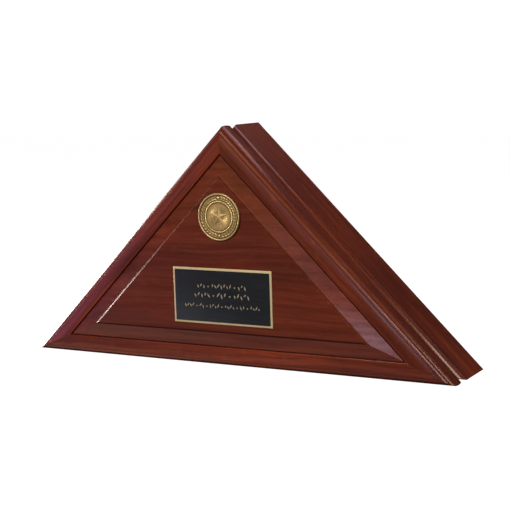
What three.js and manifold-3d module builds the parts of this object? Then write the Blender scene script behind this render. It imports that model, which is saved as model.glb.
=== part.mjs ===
// Folded flag display case: a mitred triangular box, and a hinged front door made of a mitred frame
// around a raised panel that carries a name plate and a medallion.
// Millimetres. X runs to the right along the base, Y runs from the front to the back, Z is up.
// The origin is the middle of the footprint, on the surface that the case stands on.

import * as THREE from "three";
import { mergeVertices } from "three/addons/utils/BufferGeometryUtils.js";
import Module from "manifold-3d";

const wasm = await Module();
wasm.setup();

// ---------------------------------------------------------------- driving dimensions

// Outer triangle: 45 degrees at both ends of the base and 90 degrees at the apex.
const WIDTH = 650;
const HEIGHT = WIDTH / 2;

// Stations along the depth, measured from the front edge of the door's flat rim.
const FIELD_Y = -13.5;
const FACE_Y = -6.7;
const FACE_INNER_Y = -8;
const RIM_BACK_Y = 19.5;
const DOOR_BACK_Y = 26.3;
const CASE_FRONT_Y = 27.8;
const CASE_SIDE_Y = 37.5;
const REBATE_Y = 96.5;
const REAR_Y = 102;

// Insets from the outer triangle.
const FRAME_WIDTH = 26;
const FACE_STEP_INSET = 8.2;
const FACE_STEP = 1;
const SIDE_STEP = 1;
const REVEAL_INSET = 4.3;
const BOARD = 16;
const REBATE_INSET = 8;

// Raised panel, floating in a groove in the frame.
const GROOVE_DEPTH = 7;
const PANEL_EDGE_Y = -3.9;
const BEVEL_EDGE_Y = -7;
const PANEL_BACK_Y = 2.4;
const BEVEL_INSET = FRAME_WIDTH + 0.3;
const FIELD_INSET = 48;
const FIELD_STEP = 0.6;

const BACK_THICKNESS = 5;

// Clearances: round parts let into others, behind parts stuck on a face, and at the glued mitres.
const GAP = 0.3;
const STUCK_GAP = 0.1;
const MITRE_GAP = 0.2;

// Name plate and medallion.
const PLATE = { width: 152.4, height: 76.2, thickness: 1, centreZ: 97 };
const PLATE_FACE = { border: 3, thickness: 0.8 };
const MEDALLION = { radius: 31.75, thickness: 3.2, centreZ: 205 };

// Butt hinges on the left slope.
const HINGE_Y = (DOOR_BACK_Y + CASE_FRONT_Y) / 2;
const HINGE = {
  length: 38, leafWidth: 14.5, leafThickness: 1.1, leafOffset: 0.25,
  barrelRadius: 2.75, boreRadius: 1.3, pinRadius: 1, pinHeadRadius: 2, pinHead: 1.2,
  screwInset: 9.5, screwSpacing: 22,
};
const HINGE_PLACES = { upper: 110, lower: 340 };

const SCREW = { radius: 1.25, headRadius: 2.5, headDepth: 1.1, length: 12, tip: 3 };

// Magnetic catch on the right slope, and bumpers between the door and the case.
const CATCH = { inset: 10.15, magnetRadius: 4, magnetThickness: 3, strikeRadius: 5.5, strikeThickness: 1.1 };
const CATCH_PLACES = { lower: 140, upper: 320 };
const BUMPER = { radius: 4, thickness: 1.1 };

// Keys across the mitres: position along the bisector, and size along it, across it and in depth.
const CASE_KEY = { base: 22, apex: 12, along: 3, across: 12, depth: 56, y: 62 };
const DOOR_KEY = { base: 38, apex: 22, along: { base: 30, apex: 20 }, across: 16, depth: 4, y: 14 };

const ARC_SEGMENTS = 6;
const ROUND_SEGMENTS = 20;

// ---------------------------------------------------------------- materials

function material(color, roughness, metalness) {
  return new THREE.MeshStandardMaterial({ color, roughness, metalness });
}

const stainedWood = () => material(0x5e2119, 0.3, 0);
const plywood = () => material(0x7a4a30, 0.6, 0);
const keyWood = () => material(0xb08a5c, 0.7, 0);
const brass = () => material(0xb8924a, 0.35, 1);
const antiqueBrass = () => material(0xa98a4b, 0.45, 1);
const blackEnamel = () => material(0x14161a, 0.3, 0);
const steel = () => material(0xa8a8a8, 0.35, 1);
const bumperRubber = () => material(0x9c9488, 0.7, 0);

// ---------------------------------------------------------------- solids

function toManifold(geometry) {
  const bare = geometry.clone();
  bare.deleteAttribute("normal");
  bare.deleteAttribute("uv");
  const merged = mergeVertices(bare, 1e-4);
  return new wasm.Manifold(new wasm.Mesh({
    numProp: 3,
    vertProperties: new Float32Array(merged.getAttribute("position").array),
    triVerts: new Uint32Array(merged.index.array),
  }));
}

function toGeometry(solid) {
  const cut = solid.getMesh();
  const geometry = new THREE.BufferGeometry();
  geometry.setAttribute("position", new THREE.BufferAttribute(cut.vertProperties, 3));
  geometry.setIndex(new THREE.BufferAttribute(cut.triVerts, 1));
  geometry.computeVertexNormals();
  return geometry;
}

function cutFrom(geometry, cutters) {
  const cut = cutters.reduce((solid, cutter) => solid.subtract(toManifold(cutter)), toManifold(geometry));
  return toGeometry(cut);
}

function join(geometries) {
  const joined = geometries.map(toManifold).reduce((solid, next) => solid.add(next));
  return toGeometry(joined);
}

function named(name, geometry, ownMaterial) {
  const mesh = new THREE.Mesh(geometry, ownMaterial);
  mesh.name = name;
  return mesh;
}

// ---------------------------------------------------------------- the triangle and its sides

// Half base, and height, of the triangle at an inset from the outer one.
const triangleSize = (inset) => WIDTH / 2 - (1 + Math.SQRT2) * inset;

const CORNERS = {
  left: { point: new THREE.Vector2(-WIDTH / 2, 0), angle: Math.PI / 4 },
  right: { point: new THREE.Vector2(WIDTH / 2, 0), angle: Math.PI / 4 },
  apex: { point: new THREE.Vector2(0, HEIGHT), angle: Math.PI / 2 },
};

function sideBetween(start, end) {
  const span = end.point.clone().sub(start.point);
  const along = span.clone().normalize();
  return {
    start, end, along,
    length: span.length(),
    inward: new THREE.Vector2(-along.y, along.x),
  };
}

const SIDES = {
  bottom: sideBetween(CORNERS.left, CORNERS.right),
  right: sideBetween(CORNERS.right, CORNERS.apex),
  left: sideBetween(CORNERS.apex, CORNERS.left),
};

// Local X runs along the side, local Y is the depth, and local Z points into the triangle.
function frameOn(side, along, inset, y) {
  const x = side.start.point.x + side.along.x * along + side.inward.x * inset;
  const z = side.start.point.y + side.along.y * along + side.inward.y * inset;
  return new THREE.Matrix4()
    .makeBasis(
      new THREE.Vector3(side.along.x, 0, side.along.y),
      new THREE.Vector3(0, 1, 0),
      new THREE.Vector3(side.inward.x, 0, side.inward.y),
    )
    .setPosition(x, y, z);
}

// Local X runs from a corner along its bisector, local Y is the depth.
function frameAtCorner(corner, distance, y) {
  const centre = new THREE.Vector2(0, HEIGHT * (Math.SQRT2 - 1));
  const inward = centre.sub(corner.point).normalize();
  return new THREE.Matrix4()
    .makeBasis(
      new THREE.Vector3(inward.x, 0, inward.y),
      new THREE.Vector3(0, 1, 0),
      new THREE.Vector3(-inward.y, 0, inward.x),
    )
    .setPosition(corner.point.x + inward.x * distance, y, corner.point.y + inward.y * distance);
}

// A length of moulding along one side, with both ends cut on the bisectors of its corners.
function mitredMember(side, profile) {
  const geometry = new THREE.ExtrudeGeometry(profile, {
    depth: 1, bevelEnabled: false, curveSegments: ARC_SEGMENTS,
  });
  const position = geometry.getAttribute("position");
  for (let i = 0; i < position.count; i += 1) {
    const depth = position.getX(i);
    const inset = position.getY(i);
    const end = position.getZ(i) > 0.5 ? side.end : side.start;
    const setBack = inset / Math.tan(end.angle / 2) + MITRE_GAP / 2 / Math.sin(end.angle / 2);
    const along = end === side.end ? side.length - setBack : setBack;
    const place = new THREE.Vector3().setFromMatrixPosition(frameOn(side, along, inset, depth));
    position.setXYZ(i, ...place);
  }
  geometry.computeVertexNormals();
  return geometry;
}

// A triangular plate with its sides parallel to the case's. Layers run from the back to the front.
function layeredTriangle(layers) {
  const outline = new THREE.Shape([
    new THREE.Vector2(-1, 0), new THREE.Vector2(1, 0), new THREE.Vector2(0, 1),
  ]);
  const steps = layers.length - 1;
  const geometry = new THREE.ExtrudeGeometry(outline, { depth: steps, steps, bevelEnabled: false });
  const position = geometry.getAttribute("position");
  for (let i = 0; i < position.count; i += 1) {
    const { inset, y } = layers[Math.round(position.getZ(i))];
    const size = triangleSize(inset);
    position.setXYZ(i, position.getX(i) * size, y, inset + position.getY(i) * size);
  }
  geometry.computeVertexNormals();
  return geometry;
}

// ---------------------------------------------------------------- profiles, as depth against inset

// An arc that meets the side squarely at depth y and falls back to the reveal over the given run.
function easedEdge(shape, y, run, from, towards) {
  const rise = REVEAL_INSET - from;
  const radius = (run * run + rise * rise) / (2 * rise);
  const sweep = Math.asin(run / radius);
  const foot = 1.5 * Math.PI;
  if (towards === "front") {
    shape.absarc(y, from + radius, radius, foot - sweep, foot, false);
  } else {
    shape.absarc(y, from + radius, radius, foot, foot + sweep, false);
  }
}

function doorFrameProfile() {
  const shape = new THREE.Shape();
  const crown = -FACE_Y - FACE_STEP;
  const grooveInset = FRAME_WIDTH - GROOVE_DEPTH;
  shape.moveTo(FACE_INNER_Y, FRAME_WIDTH);
  shape.lineTo(FACE_Y, FACE_STEP_INSET);
  shape.lineTo(FACE_Y + FACE_STEP, FACE_STEP_INSET);
  shape.absellipse(0, FACE_STEP_INSET, crown, FACE_STEP_INSET - SIDE_STEP, Math.PI, 1.5 * Math.PI, false, 0);
  shape.lineTo(0, 0);
  shape.lineTo(RIM_BACK_Y, 0);
  easedEdge(shape, RIM_BACK_Y, DOOR_BACK_Y - RIM_BACK_Y, 0, "back");
  shape.lineTo(DOOR_BACK_Y, FRAME_WIDTH);
  shape.lineTo(PANEL_BACK_Y + GAP, FRAME_WIDTH);
  shape.lineTo(PANEL_BACK_Y + GAP, grooveInset);
  shape.lineTo(PANEL_EDGE_Y - GAP, grooveInset);
  shape.lineTo(PANEL_EDGE_Y - GAP, FRAME_WIDTH);
  shape.closePath();
  return shape;
}

function caseBoardProfile() {
  const shape = new THREE.Shape();
  shape.moveTo(CASE_FRONT_Y, BOARD);
  easedEdge(shape, CASE_SIDE_Y, CASE_SIDE_Y - CASE_FRONT_Y, SIDE_STEP, "front");
  shape.lineTo(CASE_SIDE_Y, 0);
  shape.lineTo(REAR_Y, 0);
  shape.lineTo(REAR_Y, REBATE_INSET);
  shape.lineTo(REBATE_Y, REBATE_INSET);
  shape.lineTo(REBATE_Y, BOARD);
  shape.closePath();
  return shape;
}

// ---------------------------------------------------------------- round parts, along the depth

function discAt(matrix, radius, frontY, backY) {
  const disc = new THREE.CylinderGeometry(radius, radius, backY - frontY, ROUND_SEGMENTS);
  disc.translate(0, (frontY + backY) / 2, 0);
  return disc.applyMatrix4(matrix);
}

// A countersunk wood screw. Its head's face is at the frame's origin, and it points along `into`.
function screwAt(matrix, into) {
  const { radius, headRadius, headDepth, length, tip } = SCREW;
  const outline = [
    [0, -length], [radius, tip - length], [radius, -headDepth], [headRadius, 0], [0, 0],
  ];
  const screw = new THREE.LatheGeometry(outline.map(([r, y]) => new THREE.Vector2(r, y)), ROUND_SEGMENTS);
  if (into > 0) {
    screw.rotateX(Math.PI);
  }
  return screw.applyMatrix4(matrix);
}

// The hole for that screw: a countersink as deep as the head, then a plain hole.
function screwHoleAt(matrix, into) {
  const { radius, headRadius, headDepth, length } = SCREW;
  const outline = [
    [0, -length - GAP], [radius + GAP, -length - GAP], [radius + GAP, -headDepth - GAP],
    [headRadius + GAP, 0], [headRadius + GAP, GAP], [0, GAP],
  ];
  const hole = new THREE.LatheGeometry(outline.map(([r, y]) => new THREE.Vector2(r, y)), ROUND_SEGMENTS);
  if (into > 0) {
    hole.rotateX(Math.PI);
  }
  return hole.applyMatrix4(matrix);
}

// ---------------------------------------------------------------- joinery and hardware places

const TOWARDS_BACK = 1;
const TOWARDS_FRONT = -1;

function keyAt(corner, key, isApex, extra) {
  const distance = isApex ? key.apex : key.base;
  const along = typeof key.along === "number" ? key.along : (isApex ? key.along.apex : key.along.base);
  const block = new THREE.BoxGeometry(along + extra, key.depth + extra, key.across + extra);
  return block.applyMatrix4(frameAtCorner(corner, distance, key.y));
}

// The keyways that a member needs at its two ends.
function keywaysOf(side, key) {
  return [side.start, side.end].map((corner) => keyAt(corner, key, corner === CORNERS.apex, 2 * GAP));
}

// Where the hinge screws go: on one leaf, its two screws stand on the leaf's outer face.
function hingeScrewFrames(along, into) {
  const faceY = HINGE_Y + into * HINGE.leafOffset;
  return [-0.5, 0.5].map((half) => (
    frameOn(SIDES.left, along + half * HINGE.screwSpacing, HINGE.screwInset, faceY)
  ));
}

function hingeCutters(into) {
  return Object.values(HINGE_PLACES).flatMap((along) => {
    const depth = HINGE.leafOffset + HINGE.leafThickness + GAP;
    const mortise = new THREE.BoxGeometry(HINGE.length + 2 * GAP, depth, 2 * (HINGE.leafWidth + GAP));
    mortise.translate(0, into * depth / 2, 0).applyMatrix4(frameOn(SIDES.left, along, 0, HINGE_Y));
    return [mortise, ...hingeScrewFrames(along, into).map((frame) => screwHoleAt(frame, into))];
  });
}

const catchFrames = Object.fromEntries(Object.entries(CATCH_PLACES).map(([place, along]) => (
  [place, (y) => frameOn(SIDES.right, along, CATCH.inset, y)]
)));

const strikeFrontY = DOOR_BACK_Y - STUCK_GAP;

// Three screws through the back panel into each board's rebate.
const BACK_FACE_Y = REBATE_Y + GAP + BACK_THICKNESS;
const BACK_SCREW_INSET = (REBATE_INSET + BOARD) / 2;

function backScrewFrames(side) {
  const startSetBack = BACK_SCREW_INSET / Math.tan(side.start.angle / 2);
  const endSetBack = BACK_SCREW_INSET / Math.tan(side.end.angle / 2);
  const clear = side.length - startSetBack - endSetBack;
  return [0.14, 0.5, 0.86].map((part) => (
    frameOn(side, startSetBack + part * clear, BACK_SCREW_INSET, BACK_FACE_Y)
  ));
}

// ---------------------------------------------------------------- case

function makeCase() {
  const profile = caseBoardProfile();
  const parts = [];
  const backHoles = [];
  for (const [name, side] of Object.entries(SIDES)) {
    const cutters = keywaysOf(side, CASE_KEY);
    for (const frame of backScrewFrames(side)) {
      cutters.push(screwHoleAt(frame, TOWARDS_FRONT));
      backHoles.push(screwHoleAt(frame, TOWARDS_FRONT));
    }
    if (side === SIDES.left) {
      cutters.push(...hingeCutters(TOWARDS_BACK));
    }
    if (side === SIDES.right) {
      for (const frameAt of Object.values(catchFrames)) {
        const floor = CATCH.magnetThickness + STUCK_GAP + GAP;
        cutters.push(discAt(frameAt(CASE_FRONT_Y), CATCH.magnetRadius + GAP, -GAP, floor));
      }
    }
    parts.push(named(`case_${name}_board`, cutFrom(mitredMember(side, profile), cutters), stainedWood()));
    backScrewFrames(side).forEach((frame, index) => {
      parts.push(named(`back_screw_${name}_${index + 1}`, screwAt(frame, TOWARDS_FRONT), steel()));
    });
  }
  const panel = layeredTriangle([
    { inset: REBATE_INSET + GAP, y: BACK_FACE_Y },
    { inset: REBATE_INSET + GAP, y: REBATE_Y + GAP },
  ]);
  parts.push(named("back_panel", cutFrom(panel, backHoles), plywood()));
  for (const [name, corner] of Object.entries(CORNERS)) {
    const key = keyAt(corner, CASE_KEY, corner === CORNERS.apex, 0);
    parts.push(named(`case_${name}_spline`, key, keyWood()));
  }
  return parts;
}

// ---------------------------------------------------------------- door

function makeDoor() {
  const profile = doorFrameProfile();
  const parts = [];
  for (const [name, side] of Object.entries(SIDES)) {
    const cutters = keywaysOf(side, DOOR_KEY);
    if (side === SIDES.left) {
      cutters.push(...hingeCutters(TOWARDS_FRONT));
    }
    if (side === SIDES.right) {
      for (const frameAt of Object.values(catchFrames)) {
        const floor = -CATCH.strikeThickness - STUCK_GAP - GAP;
        cutters.push(discAt(frameAt(DOOR_BACK_Y), CATCH.strikeRadius + GAP, floor, GAP));
        cutters.push(screwHoleAt(frameAt(strikeFrontY), TOWARDS_FRONT));
      }
    }
    const member = side === SIDES.bottom ? "rail" : "stile";
    parts.push(named(`door_${name}_${member}`, cutFrom(mitredMember(side, profile), cutters), stainedWood()));
  }
  for (const [name, corner] of Object.entries(CORNERS)) {
    const key = keyAt(corner, DOOR_KEY, corner === CORNERS.apex, 0);
    parts.push(named(`door_${name}_biscuit`, key, keyWood()));
  }
  const tongueInset = FRAME_WIDTH - GROOVE_DEPTH + GAP;
  parts.push(named("door_raised_panel", layeredTriangle([
    { inset: tongueInset, y: PANEL_BACK_Y },
    { inset: tongueInset, y: PANEL_EDGE_Y },
    { inset: BEVEL_INSET, y: PANEL_EDGE_Y },
    { inset: BEVEL_INSET, y: BEVEL_EDGE_Y },
    { inset: FIELD_INSET, y: FIELD_Y + FIELD_STEP },
    { inset: FIELD_INSET + FIELD_STEP / 2, y: FIELD_Y },
  ]), stainedWood()));
  return parts;
}

function makePlate() {
  const backFrontY = FIELD_Y - STUCK_GAP - PLATE.thickness;
  const back = new THREE.BoxGeometry(PLATE.width, PLATE.thickness, PLATE.height);
  back.translate(0, backFrontY + PLATE.thickness / 2, PLATE.centreZ);
  const face = new THREE.BoxGeometry(
    PLATE.width - 2 * PLATE_FACE.border, PLATE_FACE.thickness, PLATE.height - 2 * PLATE_FACE.border,
  );
  face.translate(0, backFrontY - STUCK_GAP - PLATE_FACE.thickness / 2, PLATE.centreZ);
  return [named("name_plate_backing", back, brass()), named("name_plate_face", face, blackEnamel())];
}

// A struck disc: a raised rim, a sunk band, a raised ring, and a slightly domed middle.
function makeMedallion() {
  const { radius, thickness, centreZ } = MEDALLION;
  const band = thickness - 0.9;
  const outline = [
    [0, 0], [radius - 0.4, 0], [radius, 0.5], [radius, thickness - 0.6],
    [radius - 0.7, thickness], [radius - 1.9, thickness], [radius - 2.6, band],
    [0.69 * radius, band], [0.66 * radius, thickness - 0.2], [0.63 * radius, thickness - 0.2],
    [0.6 * radius, band], [0.35 * radius, thickness - 0.4], [0, thickness - 0.1],
  ];
  const disc = new THREE.LatheGeometry(outline.map(([r, y]) => new THREE.Vector2(r, y)), 2 * ROUND_SEGMENTS);
  disc.rotateX(Math.PI).translate(0, FIELD_Y - STUCK_GAP, centreZ);
  return named("medallion", disc, antiqueBrass());
}

// ---------------------------------------------------------------- hinges

function barrelPiece(start, end, radius) {
  const piece = new THREE.CylinderGeometry(radius, radius, end - start, ROUND_SEGMENTS);
  return piece.rotateZ(Math.PI / 2).translate((start + end) / 2, 0, 0);
}

// One leaf, with the knuckles that belong to it and room for the other leaf's knuckles.
function hingeLeaf(along, into) {
  const half = HINGE.length / 2;
  const third = HINGE.length / 6;
  const outer = [[-half, -third - GAP / 2], [third + GAP / 2, half]];
  const middle = [[-third + GAP / 2, third - GAP / 2]];
  const [own, other] = into === TOWARDS_BACK ? [outer, middle] : [middle, outer];
  const leaf = new THREE.BoxGeometry(HINGE.length, HINGE.leafThickness, HINGE.leafWidth);
  leaf.translate(0, into * (HINGE.leafOffset + HINGE.leafThickness / 2), HINGE.leafWidth / 2);
  const rooms = other.map(([start, end]) => (
    barrelPiece(start - GAP, end + GAP, HINGE.barrelRadius + GAP)
  ));
  const knuckles = own.map(([start, end]) => barrelPiece(start, end, HINGE.barrelRadius));
  const bore = barrelPiece(-HINGE.length, HINGE.length, HINGE.boreRadius);
  const blank = cutFrom(join([cutFrom(leaf, rooms), ...knuckles]), [bore]);
  blank.applyMatrix4(frameOn(SIDES.left, along, 0, HINGE_Y));
  return cutFrom(blank, hingeScrewFrames(along, into).map((frame) => screwHoleAt(frame, into)));
}

function hingePin(along) {
  const half = HINGE.length / 2 + GAP;
  const outline = [
    [0, -half - HINGE.pinHead], [HINGE.pinHeadRadius, -half - HINGE.pinHead], [HINGE.pinHeadRadius, -half],
    [HINGE.pinRadius, -half], [HINGE.pinRadius, half], [HINGE.pinHeadRadius, half],
    [HINGE.pinHeadRadius, half + HINGE.pinHead], [0, half + HINGE.pinHead],
  ];
  const pin = new THREE.LatheGeometry(outline.map(([r, y]) => new THREE.Vector2(r, y)), ROUND_SEGMENTS);
  return pin.rotateZ(Math.PI / 2).applyMatrix4(frameOn(SIDES.left, along, 0, HINGE_Y));
}

function makeHinges() {
  return Object.entries(HINGE_PLACES).flatMap(([place, along]) => [
    named(`${place}_hinge_case_leaf`, hingeLeaf(along, TOWARDS_BACK), brass()),
    named(`${place}_hinge_door_leaf`, hingeLeaf(along, TOWARDS_FRONT), brass()),
    named(`${place}_hinge_pin`, hingePin(along), brass()),
    ...hingeScrewFrames(along, TOWARDS_BACK).map((frame, index) => (
      named(`${place}_hinge_case_screw_${index + 1}`, screwAt(frame, TOWARDS_BACK), brass())
    )),
    ...hingeScrewFrames(along, TOWARDS_FRONT).map((frame, index) => (
      named(`${place}_hinge_door_screw_${index + 1}`, screwAt(frame, TOWARDS_FRONT), brass())
    )),
  ]);
}

// ---------------------------------------------------------------- catch and bumpers

function makeCatches() {
  return Object.entries(catchFrames).flatMap(([place, frameAt]) => {
    const strikeFrame = frameAt(strikeFrontY);
    const magnet = discAt(
      frameAt(CASE_FRONT_Y), CATCH.magnetRadius, STUCK_GAP, STUCK_GAP + CATCH.magnetThickness,
    );
    const strike = cutFrom(
      discAt(strikeFrame, CATCH.strikeRadius, -CATCH.strikeThickness, 0),
      [screwHoleAt(strikeFrame, TOWARDS_FRONT)],
    );
    return [
      named(`${place}_catch_magnet`, magnet, steel()),
      named(`${place}_catch_strike`, strike, steel()),
      named(`${place}_catch_strike_screw`, screwAt(strikeFrame, TOWARDS_FRONT), steel()),
    ];
  });
}

function makeBumpers() {
  const inset = CATCH.inset;
  const places = {
    left: [SIDES.bottom, 0.2],
    right: [SIDES.bottom, 0.8],
    top: [SIDES.right, 0.88],
  };
  return Object.entries(places).map(([place, [side, part]]) => {
    const frame = frameOn(side, part * side.length, inset, CASE_FRONT_Y);
    const pad = discAt(frame, BUMPER.radius, -STUCK_GAP - BUMPER.thickness, -STUCK_GAP);
    return named(`${place}_bumper`, pad, bumperRubber());
  });
}

// ---------------------------------------------------------------- assembly

const group = new THREE.Group();
group.add(...makeCase(), ...makeDoor(), ...makePlate(), makeMedallion());
group.add(...makeHinges(), ...makeCatches(), ...makeBumpers());

// The front of the medallion and the rear of the boards are the ends of the depth.
const frontY = FIELD_Y - STUCK_GAP - MEDALLION.thickness;
group.position.y = -(frontY + REAR_Y) / 2;

export default group;
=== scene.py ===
"""Looks of a folded flag display case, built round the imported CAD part. Blender 4.5, metres.

Design values are in millimetres, as depth y from the front edge of the door's rim, and inset from the
outer triangle. +X runs right along the base, -Y is the front, +Z is up.
"""

import math
import random

import bmesh
import bpy
import numpy as np
from mathutils import Matrix, Vector


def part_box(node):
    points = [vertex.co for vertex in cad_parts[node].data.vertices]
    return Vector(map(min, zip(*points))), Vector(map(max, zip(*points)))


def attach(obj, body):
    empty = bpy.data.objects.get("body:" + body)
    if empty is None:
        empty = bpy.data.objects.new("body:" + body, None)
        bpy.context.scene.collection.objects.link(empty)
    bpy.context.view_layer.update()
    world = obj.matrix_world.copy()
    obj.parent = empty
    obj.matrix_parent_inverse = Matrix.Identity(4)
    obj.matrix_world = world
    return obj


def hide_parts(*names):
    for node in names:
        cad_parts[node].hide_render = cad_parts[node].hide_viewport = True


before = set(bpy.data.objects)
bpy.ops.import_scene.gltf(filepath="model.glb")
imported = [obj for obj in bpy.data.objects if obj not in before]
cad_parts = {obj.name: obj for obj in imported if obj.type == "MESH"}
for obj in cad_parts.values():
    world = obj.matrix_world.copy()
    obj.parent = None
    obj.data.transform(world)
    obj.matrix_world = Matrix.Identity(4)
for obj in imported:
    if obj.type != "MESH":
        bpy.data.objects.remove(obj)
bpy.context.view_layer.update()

# ------------ driving dimensions, in mm

MM = 0.001
WIDTH = 650

# Depths.
FACE_Y = -6.7
FIELD_Y = -13.5
RIM_BACK_Y = 19.5
DOOR_BACK_Y = 26.3
CASE_FRONT_Y = 27.8
CASE_SIDE_Y = 37.5
REBATE_Y = 96.5
REAR_Y = 102

# The door's frame and its face, then the case's boards and back.
FRAME_WIDTH = 26
FACE_STEP_INSET = 8.2
STEP = 1
RIM_CROWN = 0.45
FACE_INNER_Y = -8
FACE_SWELL = 0.45
ORIGIN_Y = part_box("door_bottom_rail")[0].y / MM - FACE_INNER_Y
REVEAL_INSET = 4.3
BOARD = 16
REBATE_INSET = 8
BACK_GAP = 0.3
BACK_THICKNESS = 5

# The raised panel, in the frame's groove.
GROOVE_DEPTH = 7
GROOVE_GAP = 0.3
PANEL_EDGE_Y = -3.9
PANEL_BACK_Y = 2.4
FIELD_INSET = 49
BEVEL_EDGE_Y = -7
QUIRK = {"width": 1.7, "depth": 3.0}
SHOULDER = {"width": 2.6, "depth": 2.3}
BEVEL_HOLLOW = 0.15
FACE_STEPS, RIM_STEPS, BEVEL_STEPS = 11, 10, 12

# The gap in a mitre, and the roundings of the arrises.
SEAM = 0.05
GROOVE_ARRIS = 1.2
STEP_EASE = 0.25
EDGE_EASE = 0.6
FILLET_STEPS = 6
GUARD = 0.8
SHARP_DEGREES = 20

HINGE_Y = (DOOR_BACK_Y + CASE_FRONT_Y) / 2
HINGE = {
    "length": 38, "leaf_width": 14.5, "leaf": 1.1, "offset": 0.25, "barrel": 2.75, "bore": 1.3, "pin": 1.0,
    "pin_head": 2.0, "screw_inset": 9.5, "screw_spacing": 22, "corner": 2.4, "gap": 0.3,
}
HINGE_PLACES = {"upper": 110, "lower": 340}
CATCH_PLACES = {"lower": 140, "upper": 320}
CATCH_INSET = 10.15
CATCH_SINK = 0.1
BUMPER_SINK = 0.1

# ------------ the triangle and its sides


def triangle_size(inset):
    """Half base, and height, of the triangle at an inset from the outer one."""
    return WIDTH / 2 - (1 + math.sqrt(2)) * inset


class Side:
    """One side of the outer triangle, in the XZ plane. Its inward normal is to the left of its direction."""

    def __init__(self, start, end, start_angle, end_angle):
        self.start = Vector(start)
        span = Vector(end) - self.start
        self.length = span.length
        self.along = span.normalized()
        self.inward = Vector((-self.along.y, self.along.x))
        self.half_angles = (math.radians(start_angle) / 2, math.radians(end_angle) / 2)

    def point(self, along, inset, y):
        flat = self.start + self.along * along + self.inward * inset
        return Vector((flat.x, y, flat.y))

    def frame(self, along, inset, y):
        """Local X runs along the side, local Y is the depth, and local Z points into the triangle."""
        turned = Matrix((
            (self.along.x, 0, self.inward.x, 0),
            (0, 1, 0, 0),
            (self.along.y, 0, self.inward.y, 0),
            (0, 0, 0, 1),
        ))
        return Matrix.Translation(self.point(along, inset, y)) @ turned

    def grain_angle(self):
        return math.atan2(self.along.y, self.along.x)


LEFT_CORNER, RIGHT_CORNER, APEX = (-WIDTH / 2, 0), (WIDTH / 2, 0), (0, WIDTH / 2)
SIDES = {
    "bottom": Side(LEFT_CORNER, RIGHT_CORNER, 45, 45),
    "right": Side(RIGHT_CORNER, APEX, 45, 90),
    "left": Side(APEX, LEFT_CORNER, 90, 45),
}

# ------------ mesh tools


def new_mesh(name, verts, faces, **values):
    """A mesh with its faces turned outwards. Each of the values is an attribute of its points."""
    mesh = bpy.data.meshes.new(name)
    mesh.from_pydata(verts, [], faces)
    for key, numbers in values.items():
        layer = mesh.attributes.new(key, "FLOAT", "POINT")
        layer.data.foreach_set("value", numbers)
    work = bmesh.new()
    work.from_mesh(mesh)
    bmesh.ops.recalc_face_normals(work, faces=work.faces)
    work.to_mesh(mesh)
    work.free()
    return mesh


def design_mesh(name, points, faces, **values):
    """The same in metres, from points in design millimetres. Each point's value is 1 on a worn arris and -1
    in a crevice, where the wood is painted with shade.
    """
    return new_mesh(name, [Vector((x, y + ORIGIN_Y, z)) * MM for x, y, z in points], faces, **values)


def skin(size, rings, start=0):
    """Faces over a stack of rings of points, with a cap on the first and on the last."""
    last = start + size * (rings - 1)
    faces = [tuple(range(start, start + size)), tuple(reversed(range(last, last + size)))]
    for base in range(start, last, size):
        for k in range(size):
            a, b = base + k, base + (k + 1) % size
            faces.append((a, b, b + size, a + size))
    return faces


def cad_box(node):
    """Middle and half sizes in X and Z, then the front and back Y, of a CAD node in design millimetres."""
    lo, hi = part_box(node)
    middle = ((lo.x + hi.x) / 2 / MM, (lo.z + hi.z) / 2 / MM)
    half = ((hi.x - lo.x) / 2 / MM, (hi.z - lo.z) / 2 / MM)
    return middle, half, lo.y / MM - ORIGIN_Y, hi.y / MM - ORIGIN_Y


def loose_object(name, data):
    made = bpy.data.objects.new(name, data)
    bpy.context.scene.collection.objects.link(made)
    return made


def piece(name, mesh, body, material, sharp=SHARP_DEGREES):
    """Links a finished piece, and lets it ride on its body."""
    mesh.shade_smooth()
    mesh.set_sharp_from_angle(angle=math.radians(sharp))
    mesh.materials.clear()
    mesh.materials.append(material)
    made = loose_object(name, mesh)
    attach(made, body)
    return made


def finish_node(node, mesh, body, material, sharp=SHARP_DEGREES):
    """Links the piece that stands for one CAD node, and hides that node."""
    made = piece(f"{node}_finished", mesh, body, material, sharp)
    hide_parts(node)


def combine(mesh, others, operation):
    """The mesh with the other meshes joined to it or cut from it. The others are used up."""
    target = loose_object("work", mesh)
    for other in others:
        tool = loose_object("tool", other)
        step = target.modifiers.new("step", "BOOLEAN")
        step.operation = operation
        step.solver = "EXACT"
        step.object = tool
        graph = bpy.context.evaluated_depsgraph_get()
        made = bpy.data.meshes.new_from_object(target.evaluated_get(graph))
        target.modifiers.clear()
        target.data = made
        bpy.data.objects.remove(tool)
        bpy.data.meshes.remove(other)
    finished = target.data
    bpy.data.objects.remove(target)
    return finished


def hull_of(node, grow):
    """The convex hull of a CAD node, moved outwards all round, as a cutter."""
    work = bmesh.new()
    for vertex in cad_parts[node].data.vertices:
        work.verts.new(vertex.co)
    bmesh.ops.remove_doubles(work, verts=work.verts, dist=1e-6)
    bmesh.ops.convex_hull(work, input=work.verts)
    spare = [v for v in work.verts if not v.link_faces]
    bmesh.ops.delete(work, geom=spare, context="VERTS")
    bmesh.ops.recalc_face_normals(work, faces=work.faces)
    bmesh.ops.dissolve_limit(work, angle_limit=0.01, verts=work.verts, edges=work.edges)
    work.normal_update()
    moves = [(v, v.normal * grow * MM * v.calc_shell_factor()) for v in work.verts]
    for vertex, move in moves:
        vertex.co += move
    mesh = bpy.data.meshes.new("hull")
    work.to_mesh(mesh)
    work.free()
    return mesh


def let_in(mesh, nodes, grow=0.25):
    return combine(mesh, [hull_of(node, grow) for node in nodes], "DIFFERENCE")


# ------------ sections with eased corners


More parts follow.
